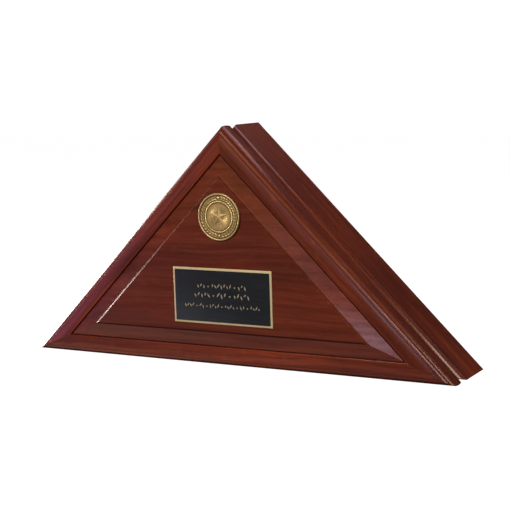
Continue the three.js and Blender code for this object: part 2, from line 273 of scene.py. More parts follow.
def section(outline, closed=True):
    """Turns (a, b) curve points and (a, b, radius) corners into points with a value each: up to 1 on a worn
    arris, down to -1 in a crevice that gets painted shade.
    """
    points = [Vector(entry[:2]) for entry in outline]
    count = len(points)
    pairs = [(points[i], points[(i + 1) % count]) for i in range(count)]
    turning = math.copysign(1, sum(p.x * q.y - p.y * q.x for p, q in pairs))
    made = []
    for i, entry in enumerate(outline):
        here = points[i]
        ends = not closed and i in (0, count - 1)
        if len(entry) < 3 or ends:
            made.append((here.x, here.y, 0.0))
            continue
        before, after = points[i - 1] - here, points[(i + 1) % count] - here
        half = before.angle(after) / 2
        radius = entry[2]
        reach = radius / math.tan(half)
        value = 1.0 if turning * before.x * after.y - turning * before.y * after.x < 0 else -1.0
        start, end = before.normalized(), after.normalized()
        guard_start = here + start * (reach + min(GUARD, before.length / 4))
        guard_end = here + end * (reach + min(GUARD, after.length / 4))
        made.append((guard_start.x, guard_start.y, 0.0))
        centre = here + (start + end).normalized() * radius / math.sin(half)
        first = here + start * reach - centre
        last = here + end * reach - centre
        for k in range(FILLET_STEPS + 1):
            part = k / FILLET_STEPS
            at = centre + first.lerp(last, part).normalized() * radius
            made.append((at.x, at.y, value * (1 - (2 * part - 1) ** 2)))
        made.append((guard_end.x, guard_end.y, 0.0))
    return made


def ellipse_arc(centre, radii, start, end, steps):
    """Curve points from one angle to another, in degrees."""
    made = []
    for k in range(steps + 1):
        angle = math.radians(start + (end - start) * k / steps)
        made.append((centre[0] + radii[0] * math.cos(angle), centre[1] + radii[1] * math.sin(angle)))
    return made


def side_ease(y, run, inset, rise, steps):
    """The rounding of a board's edge: square to the side at depth y, falling by rise over the run."""
    radius = (run * run + rise * rise) / (2 * rise)
    sweep = math.degrees(math.asin(abs(run) / radius)) * math.copysign(1, run)
    return ellipse_arc((y, inset + radius), (radius, radius), -90, -90 + sweep, steps)


def mitred_member(name, side, outline):
    """A length of moulding along one side, with both ends cut on the bisectors of its corners."""
    profile = section(outline)
    verts = []
    for at_end, half in enumerate(side.half_angles):
        for y, inset, _ in profile:
            set_back = inset / math.tan(half) + SEAM / 2 / math.sin(half)
            verts.append(side.point(side.length - set_back if at_end else set_back, inset, y))
    return design_mesh(name, verts, skin(len(profile), 2), wear=[w for _, _, w in profile] * 2)


def layered_triangle(name, path):
    """A triangular plate, from its back to its front, as rings of (inset, y) with eased corners."""
    rings = section(path, closed=False)
    verts = []
    wear = []
    for inset, y, value in rings:
        size = triangle_size(inset)
        verts += [(-size, y, inset), (size, y, inset), (0, y, inset + size)]
        wear += [value] * 3
    return design_mesh(name, verts, skin(3, len(rings)), wear=wear)


def lathe(name, outline, segments=48):
    """A solid of revolution about the depth axis, from (radius, y) points on the axis or closed on itself."""
    off_axis = outline[0][0] > 0
    verts = []
    rings = []
    for radius, y in outline:
        steps = segments if radius else 1
        rings.append([len(verts) + k % steps for k in range(segments)])
        for k in range(steps):
            turn = 2 * math.pi * k / segments
            verts.append((radius * math.cos(turn), y, radius * math.sin(turn)))
    faces = []
    for here, there in zip(rings, rings[1:] + rings[:1] * off_axis):
        for k in range(segments):
            n = (k + 1) % segments
            # A point on the axis comes up twice, and is taken once.
            faces.append(tuple(dict.fromkeys((here[k], here[n], there[n], there[k]))))
    return new_mesh(name, verts, faces)


def placed(mesh, matrix):
    """Moves a mesh made round its own origin in millimetres to its place in metres."""
    mesh.transform(matrix)
    mesh.transform(Matrix.Scale(MM, 4) @ Matrix.Translation((0, ORIGIN_Y, 0)))
    return mesh


# ------------ materials

# How often the wood's patterns repeat per metre, along and across the grain.
GRAIN = {
    "figure": (2.0, 34, 34), "streaks": (5, 170, 170), "fibres": (16, 700, 700), "pores": (55, 1500, 1500),
    "cloud": (6, 11, 11), "flame": (34, 95, 95),
}
STAIN = (
    (0.15, (0.060, 0.0070, 0.0034)), (0.38, (0.130, 0.0150, 0.0058)), (0.62, (0.225, 0.0280, 0.0085)),
    (0.86, (0.350, 0.0560, 0.0130)),
)
# No two boards take the stain quite alike.
CASE_TONES = {"bottom": 1.0, "right": 0.86, "left": 0.95}
DOOR_TONES = {"bottom": 1.07, "right": 0.80, "left": 1.0}


class Tree:
    """A short way to write a node tree."""

    def __init__(self, owner):
        owner.use_nodes = True
        self.tree = owner.node_tree

    def set(self, socket, value):
        """Sets or links an input."""
        if isinstance(value, bpy.types.NodeSocket):
            self.tree.links.new(value, socket)
        elif isinstance(value, tuple) and len(value) == 3 and socket.type == "RGBA":
            socket.default_value = (*value, 1)
        else:
            socket.default_value = value

    def add(self, kind, inputs=(), output=0, **settings):
        node = self.tree.nodes.new(kind)
        for key, value in settings.items():
            setattr(node, key, value)
        for key, value in dict(inputs).items():
            self.set(node.inputs[key], value)
        return node.outputs[output]

    def math(self, operation, a, b=0.0):
        return self.add("ShaderNodeMath", {0: a, 1: b}, operation=operation)

    def vectors(self, operation, a, b, output=0):
        return self.add("ShaderNodeVectorMath", {0: a, 1: b}, output, operation=operation)


class Nodes(Tree):
    """One material's node tree."""

    def __init__(self, name):
        self.material = bpy.data.materials.new(name)
        super().__init__(self.material)
        self.shader = self.tree.nodes["Principled BSDF"]

    def place(self, angle=0.0, scale=(1, 1, 1), offset=(0, 0, 0)):
        """Coordinates in metres in the object, turned about Y so that X runs along the grain, then scaled."""
        start = self.add("ShaderNodeTexCoord", output="Object")
        turned = self.add("ShaderNodeVectorRotate", {"Vector": start, "Angle": angle}, rotation_type="Y_AXIS")
        return self.vectors("MULTIPLY", self.vectors("ADD", turned, offset), scale)

    def noise(self, vector, detail, rough=0.55, distortion=0.0):
        return self.add("ShaderNodeTexNoise", {
            "Vector": vector, "Scale": 1.0, "Detail": detail, "Roughness": rough, "Distortion": distortion,
        }, output="Fac")

    def spread(self, value, low, high, to_low=0.0, to_high=1.0):
        return self.add("ShaderNodeMapRange", {
            "Value": value, "From Min": low, "From Max": high, "To Min": to_low, "To Max": to_high,
        }, interpolation_type="SMOOTHSTEP")

    def blend(self, factor, a, b):
        """Mixes two colours."""
        node = self.tree.nodes.new("ShaderNodeMix")
        node.data_type = "RGBA"
        for key, value in (("Factor", factor), ("A", a), ("B", b)):
            self.set(node.inputs[key], value)
        return next(o for o in node.outputs if o.type == "RGBA")

    def ramp(self, value, stops):
        node = self.tree.nodes.new("ShaderNodeValToRGB")
        self.set(node.inputs[0], value)
        elements = node.color_ramp.elements
        while len(elements) < len(stops):
            elements.new(0.5)
        for element, (position, colour) in zip(elements, stops):
            element.position = position
            element.color = (*colour, 1)
        return node.outputs[0]

    def attribute(self, name):
        return self.add("ShaderNodeAttribute", output="Fac", attribute_name=name)

    def bump(self, height, distance, strength):
        return self.add("ShaderNodeBump", {"Height": height, "Distance": distance, "Strength": strength})

    def finish(self, **inputs):
        names = {"colour": "Base Color", "specular_ior_level": "Specular IOR Level", "coat_ior": "Coat IOR"}
        for key, value in inputs.items():
            self.set(self.shader.inputs[names.get(key, key.replace("_", " ").title())], value)
        return self.material


def stained_wood(name, angle, seed, tone, contrast=0.7):
    """Red-brown stain under gloss varnish. The grain runs at the angle to the X axis."""
    dice = random.Random(seed)
    offset = tuple(dice.uniform(-9, 9) for _ in range(3))
    n = Nodes(name)
    wander = n.noise(n.place(angle, (5, 14, 14), offset), 2)
    sway = n.add("ShaderNodeCombineXYZ", {"Z": n.math("MULTIPLY", wander, 0.022)})
    bent = n.vectors("ADD", n.place(angle, (1, 1, 1), offset), sway)
    stretched = {key: n.vectors("MULTIPLY", bent, scale) for key, scale in GRAIN.items()}
    figure = n.spread(n.noise(stretched["figure"], 3, 0.6, 0.4), 0.30, 0.70)
    streaks = n.spread(n.noise(stretched["streaks"], 3, 0.6), 0.30, 0.70)
    fibres = n.noise(stretched["fibres"], 2)
    pores = n.spread(n.noise(stretched["pores"], 1), 0.58, 0.72)
    cloud = n.spread(n.noise(stretched["cloud"], 2), 0.30, 0.70)
    mixed = n.math("ADD", n.math("MULTIPLY", figure, 0.32), n.math("MULTIPLY", streaks, 0.34))
    mixed = n.math("ADD", mixed, n.math("MULTIPLY", cloud, 0.34))
    mixed = n.math("ADD", n.math("MULTIPLY", mixed, contrast), 0.5 * (1 - contrast))
    colour = n.ramp(mixed, [(at, tuple(c * tone for c in shade)) for at, shade in STAIN])
    flame = n.spread(n.noise(stretched["flame"], 2, 0.5, 0.6), 0.60, 0.78, 0.0, 0.8 * contrast ** 3)
    colour = n.blend(flame, colour, (0.38, 0.085, 0.016))
    colour = n.blend(n.spread(fibres, 0.35, 0.7, 0.0, 0.35), colour, (0.045, 0.007, 0.004))
    colour = n.blend(n.math("MULTIPLY", pores, 0.5), colour, (0.020, 0.004, 0.003))
    wear = n.attribute("wear")
    rubbed = n.math("MULTIPLY", n.spread(wear, 0.2, 1.0), n.spread(cloud, 0.3, 0.8, 0.03, 0.14))
    colour = n.blend(rubbed, colour, (0.30, 0.075, 0.022))
    # Painted shade: crevices are darkened towards near-black, standing in for the shadow that falls in them.
    colour = n.blend(n.spread(wear, -0.1, -0.9, 0.0, 0.85), colour, (0.012, 0.003, 0.002))
    fine = n.math("ADD", n.math("MULTIPLY", fibres, 0.5), n.math("MULTIPLY", pores, -1.0))
    return n.finish(
        colour=colour,
        roughness=n.spread(streaks, 0.0, 1.0, 0.38, 0.50),
        specular_ior_level=0.6,
        specular_tint=(1.0, 0.42, 0.16),
        coat_weight=n.math("MULTIPLY", n.spread(n.math("ABSOLUTE", wear), 0.3, 1.0, 1.0, 0.4),
                           n.spread(streaks, 0.0, 1.0, 0.6, 1.0)),
        coat_roughness=0.16,
        coat_ior=1.5,
        normal=n.bump(fine, 0.00006, 0.6),
        coat_normal=n.bump(cloud, 0.00006, 0.35),
    )


def plywood():
    """Stained plywood, satin, with a broad rotary-cut figure."""
    n = Nodes("back_plywood")
    rings = n.noise(n.place(0, (1.6, 9, 9), (3, 1, 5)), 3, 0.5, 1.6)
    lines = n.add("ShaderNodeMath", {0: n.math("MULTIPLY", rings, 90)}, operation="SINE")
    fibres = n.noise(n.place(0, (14, 500, 500)), 3)
    colour = n.ramp(n.math("ADD", n.math("MULTIPLY", lines, 0.12), n.math("MULTIPLY", fibres, 0.9)), [
        (0.25, (0.095, 0.034, 0.018)), (0.5, (0.155, 0.060, 0.031)), (0.72, (0.235, 0.100, 0.050)),
    ])
    return n.finish(
        colour=colour, roughness=n.spread(fibres, 0.3, 0.7, 0.5, 0.68), specular_ior_level=0.4,
        normal=n.bump(fibres, 0.0001, 0.5),
    )


def bare_wood(name, angle):
    """Pale bare beech of the keys inside the mitres, with short flecks."""
    n = Nodes(name)
    flecks = n.noise(n.place(angle, (120, 900, 900)), 2)
    growth = n.noise(n.place(angle, (8, 90, 90)), 3)
    colour = n.ramp(growth, [
        (0.3, (0.42, 0.27, 0.15)), (0.55, (0.55, 0.38, 0.22)), (0.75, (0.62, 0.45, 0.28)),
    ])
    colour = n.blend(n.spread(flecks, 0.6, 0.7, 0.0, 0.5), colour, (0.30, 0.17, 0.09))
    return n.finish(colour=colour, roughness=n.spread(growth, 0.3, 0.7, 0.6, 0.75),
                    normal=n.bump(flecks, 0.0001, 0.4))


def metal(name, light, dark, rough, brush, brush_angle=0.0, specks=0.0, solid=1.0):
    """Metal with a fine brushed grain, cloudy tarnish, and small dark specks."""
    n = Nodes(name)
    lines = n.noise(n.place(brush_angle, brush), 2)
    clouds = n.noise(n.place(0, (60, 60, 60)), 4, 0.65)
    colour = n.blend(n.spread(clouds, 0.35, 0.75), light, dark)
    if specks:
        spots = n.spread(n.noise(n.place(0, (900, 900, 900)), 2), 0.66, 0.76)
        colour = n.blend(n.math("MULTIPLY", spots, specks), colour, tuple(c * 0.35 for c in dark))
    roughness = n.math("ADD", n.spread(clouds, 0.3, 0.7, rough, rough + 0.1), n.math("MULTIPLY", lines, 0.06))
    return n.finish(colour=colour, metallic=solid, roughness=roughness, normal=n.bump(lines, 0.00002, 0.35))


def antique_brass():
    """Struck brass: bright where the relief is rubbed, brown in its hollows."""
    n = Nodes("antique_brass")
    relief = n.attribute("relief")
    grime = n.noise(n.place(0, (420, 420, 420)), 4, 0.7)
    clouds = n.noise(n.place(0, (90, 90, 90)), 3)
    height = n.math("ADD", relief, n.math("MULTIPLY", n.math("SUBTRACT", grime, 0.5), 0.5))
    colour = n.ramp(height, [
        (0.10, (0.085, 0.050, 0.011)), (0.35, (0.30, 0.195, 0.055)), (0.58, (0.66, 0.465, 0.155)),
        (0.85, (1.0, 0.79, 0.32)),
    ])
    colour = n.blend(n.spread(clouds, 0.35, 0.75, 0.0, 0.25), colour, (0.34, 0.23, 0.085))
    return n.finish(
        colour=colour, metallic=0.72,
        roughness=n.spread(height, 0.0, 1.0, 0.55, 0.34),
        normal=n.bump(grime, 0.00006, 0.5),
    )


def black_enamel():
    """Satin black over brass, with a faint rolled grain, dust-fine specks, and a painted sheen that lightens
    it towards the lower left.
    """
    n = Nodes("black_enamel")
    rolled = n.noise(n.place(0, (25, 600, 600)), 3)
    dust = n.spread(n.noise(n.place(0, (1300, 1300, 1300)), 1), 0.70, 0.80)
    colour = n.blend(n.spread(rolled, 0.3, 0.7), (0.0070, 0.0112, 0.0115), (0.0120, 0.0175, 0.0180))
    # Painted sheen: the colour is lifted towards the lower left, standing in for a reflection.
    across = n.vectors("DOT_PRODUCT", n.place(0), (-0.6, 0.0, -1.0), "Value")
    painted_sheen = n.math("ADD", across, n.math("MULTIPLY", n.noise(n.place(0, (14, 14, 14)), 2), 0.05))
    colour = n.blend(n.spread(painted_sheen, -0.085, 0.02), colour, (0.038, 0.050, 0.053))
    colour = n.blend(n.math("MULTIPLY", dust, 0.25), colour, (0.06, 0.06, 0.06))
    return n.finish(
        colour=colour, roughness=n.spread(rolled, 0.3, 0.7, 0.30, 0.38), specular_ior_level=0.5,
        normal=n.bump(rolled, 0.00001, 0.3),
    )


def bumper_rubber():
    n = Nodes("bumper_rubber")
    clouds = n.noise(n.place(0, (500, 500, 500)), 3)
    colour = n.blend(clouds, (0.48, 0.46, 0.42), (0.34, 0.32, 0.29))
    return n.finish(colour=colour, roughness=n.spread(clouds, 0.3, 0.7, 0.5, 0.65), subsurface_weight=0.15,
                    subsurface_scale=0.001, normal=n.bump(clouds, 0.00005, 0.3))


BRASS = metal("brass", (1.0, 0.88, 0.46), (0.84, 0.72, 0.33), 0.32, (40, 40, 2500), specks=0.3, solid=0.5)
ENGRAVED_BRASS = metal(
    "engraved_brass", (0.66, 0.58, 0.36), (0.44, 0.38, 0.22), 0.42, (700, 700, 700), solid=0.6)
HINGE_BRASS = metal(
    "hinge_brass", (0.76, 0.58, 0.28), (0.58, 0.42, 0.18), 0.30, (60, 60, 2200), math.pi / 4, specks=0.5)
STEEL = metal("zinc_steel", (0.62, 0.62, 0.63), (0.44, 0.45, 0.47), 0.28, (900, 900, 900), specks=0.4)
ANTIQUE_BRASS = antique_brass()
BLACK_ENAMEL = black_enamel()
RUBBER = bumper_rubber()
PLYWOOD = plywood()

# ------------ case


def make_members(body, nodes, outline, key, catch, seed, tones):
    """Three mitred members, let round their keys and their halves of the hinges and catches."""
    corners = {"bottom": ("left", "right"), "right": ("right", "apex"), "left": ("left", "apex")}
    fittings = {"right": f"catch_{catch}", "left": f"hinge_{body}_leaf"}
    for place, (name, side) in enumerate(SIDES.items()):
        node = nodes[name]
        inlaid = [f"{body}_{corner}_{key}" for corner in corners[name]]
        inlaid += [f"{level}_{fittings[name]}" for level in ("upper", "lower") if name in fittings]
        mesh = let_in(mitred_member(node, side, outline), inlaid)
        wood = stained_wood(f"wood_{node}", side.grain_angle(), seed + place, tones[name])
        finish_node(node, mesh, body, wood)


def case_board_outline():
    """Counter-clockwise from the inside of the front edge, as depth against inset."""
    rise = REVEAL_INSET - STEP
    edge = side_ease(CASE_SIDE_Y, CASE_FRONT_Y - CASE_SIDE_Y, STEP, rise, 14)
    return [
        (CASE_FRONT_Y, BOARD, EDGE_EASE),
        (CASE_FRONT_Y, REVEAL_INSET + 0.1, GROOVE_ARRIS),
        *reversed(edge[:-2]),
        (CASE_SIDE_Y, 0, STEP_EASE),
        (REAR_Y, 0, EDGE_EASE),
        (REAR_Y, REBATE_INSET, STEP_EASE),
        (REBATE_Y, REBATE_INSET, STEP_EASE),
        (REBATE_Y, BOARD, STEP_EASE),
    ]


def make_case():
    boards = {name: f"case_{name}_board" for name in SIDES}
    make_members("case", boards, case_board_outline(), "spline", "magnet", 21, CASE_TONES)
    edge, front_y = REBATE_INSET + BACK_GAP, REBATE_Y + BACK_GAP
    back = layered_triangle("back_panel", [(edge, front_y + BACK_THICKNESS), (edge, front_y)])
    screws = [f"back_screw_{name}_{i}" for name in SIDES for i in (1, 2, 3)]
    finish_node("back_panel", let_in(back, screws, 0.08), "case", PLYWOOD)


# ------------ door


def door_frame_outline():
    """From the groove's front lip, over the face, the rim and the back, and into the groove."""
    crown = -FACE_Y - STEP
    round_edge = ellipse_arc((0, FACE_STEP_INSET), (crown, FACE_STEP_INSET - STEP), 180, 270, 18)
    back_edge = side_ease(RIM_BACK_Y, DOOR_BACK_Y - RIM_BACK_Y, 0, REVEAL_INSET, 12)
    groove_inset = FRAME_WIDTH - GROOVE_DEPTH
    # The face swells a little as it rises towards the panel, and the rim is slightly crowned.
    face = []
    for k in range(1, FACE_STEPS):
        part = k / FACE_STEPS
        swell = 4 * FACE_SWELL * part * (1 - part)
        face.append((FACE_Y + (FACE_INNER_Y - FACE_Y) * part - swell,
                     FACE_STEP_INSET + (FRAME_WIDTH - FACE_STEP_INSET) * part))
    parts = [k / RIM_STEPS for k in range(1, RIM_STEPS)]
    rim = [(RIM_BACK_Y * part, RIM_CROWN * (2 * part - 1) ** 2) for part in parts]
    return [
        (PANEL_EDGE_Y - GROOVE_GAP, FRAME_WIDTH, STEP_EASE),
        (FACE_INNER_Y - 0.1, FRAME_WIDTH, 0.9),
        *reversed(face),
        (FACE_Y, FACE_STEP_INSET, 0.15),
        (FACE_Y + STEP, FACE_STEP_INSET, 0.2),
        *round_edge[1:],
        (0, RIM_CROWN, STEP_EASE),
        *rim,
        *[(y, inset + RIM_CROWN * (1 - inset / REVEAL_INSET)) for y, inset in back_edge],
        (DOOR_BACK_Y, FRAME_WIDTH, EDGE_EASE),
        (PANEL_BACK_Y + GROOVE_GAP, FRAME_WIDTH, STEP_EASE),
        (PANEL_BACK_Y + GROOVE_GAP, groove_inset, 0.2),
        (PANEL_EDGE_Y - GROOVE_GAP, groove_inset, 0.2),
    ]


def raised_panel_path():
    """From the middle of the back, round the tongue, up the hollow bevel and on to the field."""
    tongue = FRAME_WIDTH - GROOVE_DEPTH + GROOVE_GAP
    edge_inset = FRAME_WIDTH + QUIRK["width"]
    shoulder_y = FIELD_Y + SHOULDER["depth"]
    shoulder_inset = FIELD_INSET - SHOULDER["width"]
    bevel = []
    for k in range(1, BEVEL_STEPS + 1):
        part = k / BEVEL_STEPS
        hollow = 4 * BEVEL_HOLLOW * part * (1 - part)
        bevel.append((edge_inset + (shoulder_inset - edge_inset) * part,
                      BEVEL_EDGE_Y + (shoulder_y - BEVEL_EDGE_Y) * part + hollow))
    return [
        (FRAME_WIDTH * 3, PANEL_BACK_Y),
        (tongue, PANEL_BACK_Y, EDGE_EASE),
        (tongue, PANEL_EDGE_Y, EDGE_EASE),
        (edge_inset, BEVEL_EDGE_Y + QUIRK["depth"], 0.3),
        (edge_inset, BEVEL_EDGE_Y, 0.3),
        *bevel,
        (FIELD_INSET, FIELD_Y, 0.35),
        (FIELD_INSET + 8, FIELD_Y),
    ]


def make_door():
    members = {"bottom": "door_bottom_rail", "right": "door_right_stile", "left": "door_left_stile"}
    make_members("door", members, door_frame_outline(), "biscuit", "strike", 31, DOOR_TONES)
    panel = layered_triangle("door_raised_panel", raised_panel_path())
    wood = stained_wood("wood_door_raised_panel", 0.0, 41, 0.83, 0.55)
    finish_node("door_raised_panel", panel, "door", wood)


# ------------ name plate

BORDER_BEVEL = (2.3, 0.25)
PLATE_CORNER = 0.5
LAND = 0.6
# Each row's height above the middle, its runs of leaves, their pitch, and the longest leaf.
ORNAMENT_ROWS = (
    (14.0, (3, 7, 3), 4.6, 7.2),
    (1.6, (5, 3, 5), 5.2, 8.0),
    (-13.2, (4, 2, 4, 4, 2, 4), 4.0, 6.4),
)


def eased_slab(name, half, thickness, ease, centre, back_y, bevel=(0, 0)):
    """A thin plate with a rounded rim, a shallow bevel (width, fall) and slightly rounded corners."""
    def ring(inset, y):
        radius = max(0.05, PLATE_CORNER - inset)
        points = []
        for cx, cz, start in ((1, 1, 0), (-1, 1, 90), (-1, -1, 180), (1, -1, 270)):
            middle = (centre[0] + cx * (half[0] - inset - radius),
                      centre[1] + cz * (half[1] - inset - radius))
            points += [(x, y, z) for x, z in ellipse_arc(middle, (radius, radius), start, start + 90, 4)]
        return points
    front_y = back_y - thickness
    width, fall = bevel
    rim = ellipse_arc((ease, front_y + fall + ease), (ease, ease), 180, 270, 4)
    rings = [ring(0, back_y), *[ring(*at) for at in rim], ring(ease + LAND + width, front_y)]
    return design_mesh(name, [p for r in rings for p in r], skin(len(rings[0]), len(rings)))


def leaf_outline(x, z, length, width, angle):
    """A pointed oval, as two arcs."""
    points = []
    for sign in (1, -1):
        for k in range(6):
            u = sign * (1 - 2 * k / 6)
            v = sign * width / 2 * (1 - u * u)
            u *= length / 2
            points.append((x + u * math.cos(angle) - v * math.sin(angle),
                           z + u * math.sin(angle) + v * math.cos(angle)))
    return points


def lozenge_outline(x, z, size):
    return [(x - size, z), (x, z - size * 0.8), (x + size, z), (x, z + size * 0.8)]


def ornament_row(z, counts, pitch, leaf):
    """Runs of leaves that lean to and fro above and below the row's line, with a lozenge in every gap."""
    gap = 1.9 * pitch
    x = -(sum(counts) * pitch + gap * (len(counts) - 1)) / 2
    marks = []
    dice = random.Random(len(counts) + sum(counts))
    for place, count in enumerate(counts):
        for k in range(count):
            up = 1 if (k + place) % 2 else -1
            long = leaf * dice.uniform(0.55, 1.0)
            marks.append(leaf_outline(
                x + (k + 0.5) * pitch, z + up * leaf * dice.uniform(0.05, 0.22), long, leaf * 0.23,
                math.radians(90 - up * dice.uniform(8, 42)),
            ))
        x += count * pitch + gap
        if place < len(counts) - 1:
            marks.append(lozenge_outline(x - gap / 2, z - leaf * 0.1, leaf * 0.2))
    return marks


def engraving(marks, centre_z, face_y, proud, deep):
    """Shallow solids in the shape of the marks, sunk into a face and standing a hair proud of it."""
    verts = []
    faces = []
    for mark in marks:
        faces += skin(len(mark), 2, len(verts))
        for y in (face_y - proud, face_y + deep):
            verts += [(x, y, centre_z + z) for x, z in mark]
    return design_mesh("marks", verts, faces)


def make_name_plate():
    centre, half, front_y, back_y = cad_box("name_plate_backing")
    slab = eased_slab("backing", half, back_y - front_y, 0.25, centre, back_y, BORDER_BEVEL)
    finish_node("name_plate_backing", slab, "door", BRASS)
    _, half, front_y, back_y = cad_box("name_plate_face")
    enamel = eased_slab("enamel", half, back_y - front_y, 0.2, centre, back_y)
    finish_node("name_plate_face", enamel, "door", BLACK_ENAMEL)
    marks = [mark for row in ORNAMENT_ROWS for mark in ornament_row(*row)]
    cut = engraving(marks, centre[1], front_y, 0.04, 0.05)
    piece("name_plate_engraving", cut, "door", ENGRAVED_BRASS)


# ------------ medallion

AROUND, RINGS = 480, 120
BLUR = 7
STAR_POINTS, STAR_WAIST = 5, 0.42
RAYS, BEADS, LEAVES = 40, 84, 17
GROUND_FALL = 1.0
RIM_ROUND = 0.7
# Parts of the medallion's radius.
DOME, STAR, BEAD_RING, BAND = 0.6, 0.46, 0.645, 0.80
# How far each feature stands above the ground. The stars also have a foot.
RAISED = {
    "dome": 0.42, "rays": 0.30, "star": 1.15, "ring": 0.62, "beads": 0.26, "leaves": 0.74, "small_star": 0.8,
}
STAR_FOOT, SMALL_STAR_FOOT = 0.35, 0.25


def smooth(value, low, high):
    t = np.clip((value - low) / (high - low), 0, 1)
    return t * t * (3 - 2 * t)


def star_relief(x, z, radius):
    """Height from 0 to 1 of a faceted star with one point up, and a ridge to every point."""
    sector = 2 * math.pi / STAR_POINTS
    folded = np.abs((np.arctan2(z, x) - math.pi / 2 + sector / 2) % sector - sector / 2)
    dent = STAR_WAIST * np.array([math.cos(sector / 2), math.sin(sector / 2)])
    edge = dent - np.array([1.0, 0.0])
    reach = edge[1] / (np.cos(folded) * edge[1] - np.sin(folded) * edge[0])
    return np.clip(1 - np.hypot(x, z) / (radius * reach), 0, 1)


def leaf_relief(x, z, at, length, width, angle):
    """Height from 0 to 1 of a leaf with a raised rib."""
    u = ((x - at[0]) * math.cos(angle) + (z - at[1]) * math.sin(angle)) / (length / 2)
    v = (-(x - at[0]) * math.sin(angle) + (z - at[1]) * math.cos(angle)) / (width / 2)
    body = np.clip(1 - u * u, 0, 1)
    inside = np.clip(body - np.abs(v), 0, 1)
    return np.sqrt(inside) * 0.8 + 0.2 * np.clip(1 - np.abs(v) * 5, 0, 1) * (inside > 0)


def medallion_height(x, z, radius, thickness):
    """A raised rim, a laurel band, a beaded ring, and a star on a sunburst."""
    r = np.hypot(x, z)
    angle = np.arctan2(z, x)
    floor = thickness - GROUND_FALL
    dome = floor + RAISED["dome"] * np.clip(1 - (r / (DOME * radius)) ** 2, 0, 1)
    height = np.where(r < DOME * radius, dome, floor)
    rays = (0.5 + 0.5 * np.cos(angle * RAYS)) ** 2 * smooth(r, 0.20 * radius, 0.3 * radius)
    rays *= 1 - smooth(r, 0.50 * radius, 0.575 * radius)
    height += RAISED["rays"] * rays
    height = np.maximum(height, floor + STAR_FOOT + RAISED["star"] * star_relief(x, z, STAR * radius))
    ring = 1 - smooth(np.abs(r - BEAD_RING * radius), 0.012 * radius, 0.045 * radius)
    beads = 0.5 + 0.5 * np.cos(angle * BEADS)
    height = np.maximum(height, floor + ring * (RAISED["ring"] + RAISED["beads"] * beads))
    for sign in (1, -1):
        for k in range(LEAVES):
            turn = -math.pi / 2 + sign * math.radians(13 + k * 9.7)
            for side in (1, -1):
                out = (BAND + side * 0.048) * radius
                at = (out * math.cos(turn), out * math.sin(turn))
                heading = turn + sign * (math.pi / 2 - side * 0.5)
                leaf = leaf_relief(x, z, at, 0.168 * radius, 0.062 * radius, heading)
                height = np.maximum(height, floor + RAISED["leaves"] * leaf)
    for sign, size in ((1, 0.105), (-1, 0.095)):
        star = star_relief(x, z - sign * BAND * radius, size * radius)
        height = np.maximum(height, floor + SMALL_STAR_FOOT * (star > 0) + RAISED["small_star"] * star)
    rim = smooth(r, 0.915 * radius, 0.945 * radius)
    height = np.maximum(height, floor + rim * (thickness - floor))
    edge = np.clip((r - (radius - RIM_ROUND)) / RIM_ROUND, 0, 1)
    return height - 0.6 * (1 - np.sqrt(1 - edge * edge))


def blurred(height):
    """The mean height around each point of the polar grid."""
    mean = np.zeros_like(height)
    shifts = range(-BLUR, BLUR + 1)
    padded = np.pad(height, ((BLUR, BLUR), (0, 0)), mode="edge")
    for shift in shifts:
        mean += padded[BLUR + shift:BLUR + shift + len(height)]
    around = sum(np.roll(mean, shift, axis=1) for shift in shifts)
    return around / len(shifts) ** 2


def make_medallion():
    centre, (radius, _), front_y, back_y = cad_box("medallion")
    thickness = back_y - front_y
    turns = np.arange(AROUND) * 2 * math.pi / AROUND
    radii = np.linspace(0, radius, RINGS + 1)[1:]
    x, z = np.outer(radii, np.cos(turns)), np.outer(radii, np.sin(turns))
    height = medallion_height(x, z, radius, thickness)
    top = medallion_height(np.zeros(1), np.zeros(1), radius, thickness)[0]
    points = [(0, back_y - top, 0), *zip(x.ravel(), back_y - height.ravel(), z.ravel())]
    for rim, y in ((radius, back_y - 0.5), (radius - 0.4, back_y)):
        points += [(rim * math.cos(turn), y, rim * math.sin(turn)) for turn in turns]
    polished = 0.13 * (1 - smooth(np.hypot(x, z), 0.50 * radius, 0.62 * radius))
    relief = np.clip(0.5 + polished + (height - blurred(height)) / 0.46, 0, 1)
    fan = [(0, 1 + k, 1 + (k + 1) % AROUND) for k in range(AROUND)]
    mesh = design_mesh(
        "medallion", [(centre[0] + px, py, centre[1] + pz) for px, py, pz in points],
        fan + skin(AROUND, RINGS + 2, 1)[1:], relief=[1.0, *relief.ravel(), *[0.6] * 2 * AROUND],
    )
    finish_node("medallion", mesh, "door", ANTIQUE_BRASS, sharp=50)


# ------------ screws, hinges, catches and bumpers

FACES_FRONT = Matrix.Rotation(math.pi, 4, "X")
FACES_BACK = Matrix.Identity(4)
LIES_ALONG = Matrix.Rotation(math.pi / 2, 4, "Z")

# Screws: the radii of the thread, the first turn's depth, the pitch, and the number of turns.
ROOT, CREST = 1.0, 1.25
THREAD_START, PITCH, TURNS = -9.0, 0.62, 12
# The cross recess: depth, half length and half width at its mouth and at its foot.
RECESS = ((0.2, 1.45, 0.28), (-0.95, 0.5, 0.2))
COUNTERSINK = [(0, -3), (1.5, -3), (1.5, -1.2), (2.72, 0), (2.9, 0.4), (0, 0.4)]

MAGNET = [
    (0, 3), (3.7, 3), (4, 2.7), (4, 0.25), (3.75, 0), (3.15, 0), (3.0, 0.12), (2.75, 0.12), (2.6, 0), (0, 0),
]
STRIKE = [(1.5, 1.1), (5.2, 1.1), (5.5, 0.85), (5.5, 0.3), (5.2, 0), (2.95, 0), (2.75, 0.1), (1.6, 1.0)]


